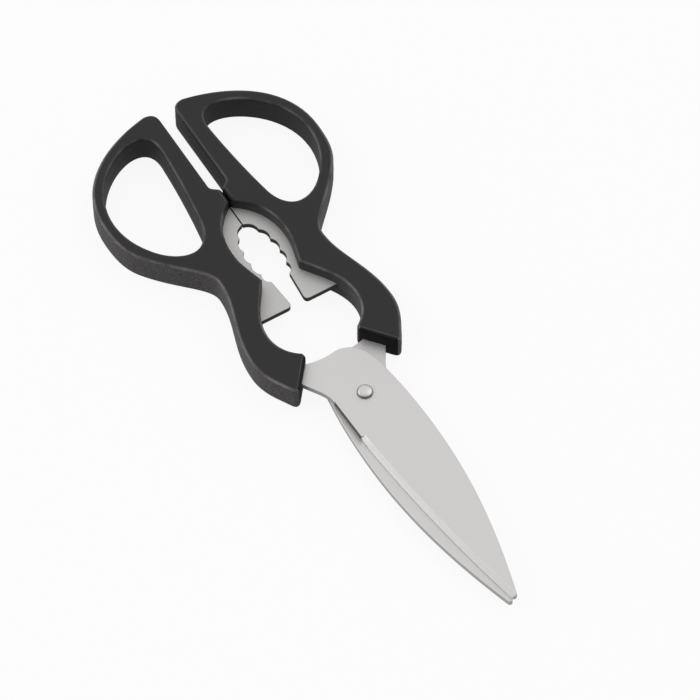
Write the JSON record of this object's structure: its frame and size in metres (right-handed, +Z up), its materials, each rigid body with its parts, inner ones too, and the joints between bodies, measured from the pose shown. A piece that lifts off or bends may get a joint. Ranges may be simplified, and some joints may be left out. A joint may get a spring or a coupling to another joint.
{
  "type": "household scissors",
  "caption": "Household scissors with stainless blades on a riveted pivot, moulded black finger loops, a toothed steel nut jaw and a bottle opener between the handles.",
  "frame": {"origin": "centre of the closed scissors' bounding box, at the undersides of the handles", "axes": "+X from the finger loops to the blade tips, +Z up from the table along the pivot"},
  "size_m": [0.2102, 0.0788, 0.0106],
  "materials": {
    "blade_steel": "satin",
    "jaw_steel": "satin",
    "rivet_steel": "polished",
    "handle_plastic": "matte"
  },
  "bodies": {
    "lower_half": {"right_handle": "handle_plastic", "lower_blade": "blade_steel", "right_jaw_plate": "jaw_steel", "pivot_rivet": "rivet_steel", "pivot_washer": "rivet_steel"},
    "upper_half": {"left_handle": "handle_plastic", "upper_blade": "blade_steel", "left_jaw_plate": "jaw_steel"}
  },
  "joints": [
    {"name": "pivot_hinge", "type": "hinge", "parent": "lower_half", "child": "upper_half", "pos_m": [0.01965, 0, 0.0053], "axis": [0, 0, 1], "range_deg": [0, 80]}
  ]
}
